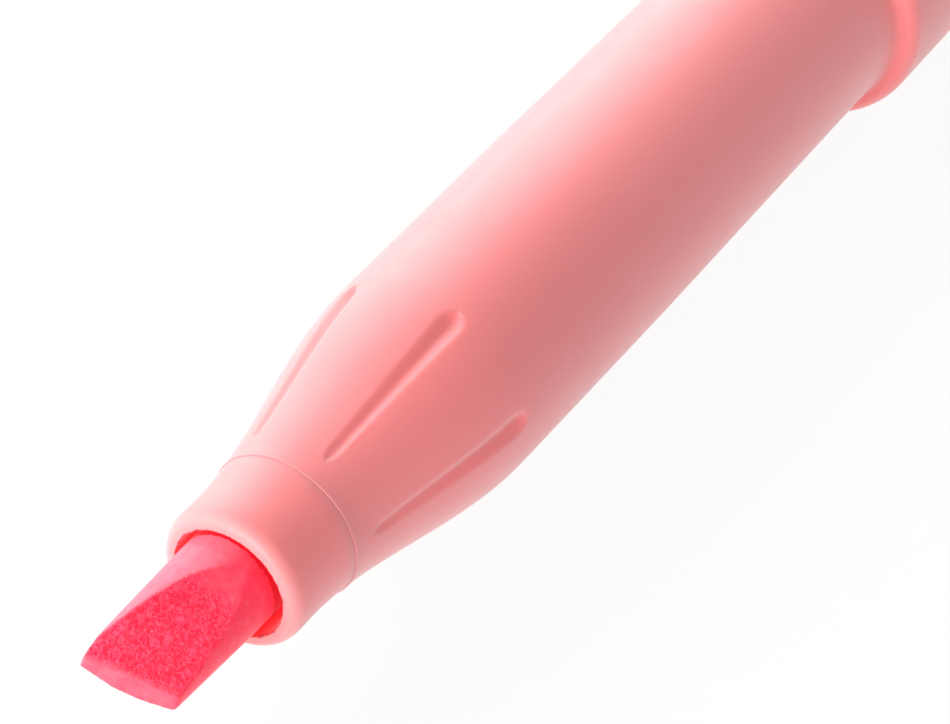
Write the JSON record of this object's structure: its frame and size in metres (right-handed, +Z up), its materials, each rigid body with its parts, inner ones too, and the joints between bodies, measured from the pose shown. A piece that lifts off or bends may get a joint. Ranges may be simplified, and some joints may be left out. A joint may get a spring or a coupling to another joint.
{
  "type": "erasable highlighter",
  "caption": "Erasable highlighter with a slanted chisel nib, a flared fluted grip, a wide round barrel, a friction eraser on its tail and a clip cap posted over it.",
  "frame": {"origin": "under the middle of the whole object, on the surface that the pen lies on", "axes": "+X along the pen from the nib to the cap's closed end, +Z up"},
  "size_m": [0.1788, 0.0164, 0.0142],
  "materials": {
    "barrel_plastic": "satin pastel pink",
    "cap_plastic": "satin pastel pink",
    "nib_fibre": "bonded fibre wet with pink ink",
    "ink_fibre": "fibre soaked with pink ink",
    "clear_film": "thin clear film",
    "eraser_rubber": "smooth pale elastomer",
    "seal_plastic": "natural milky plastic"
  },
  "bodies": {
    "pen": {"barrel": "barrel_plastic", "nozzle": "barrel_plastic", "nib": "nib_fibre", "ink_reservoir": "ink_fibre", "reservoir_film": "clear_film", "tail_plug": "barrel_plastic", "friction_eraser": "eraser_rubber"},
    "cap": {"cap_shell": "cap_plastic", "inner_cap": "seal_plastic"}
  },
  "joints": [
    {"name": "cap_pull", "type": "slide", "parent": "pen", "child": "cap", "axis": [1, 0, 0], "range_m": [0, 0.04]}
  ]
}
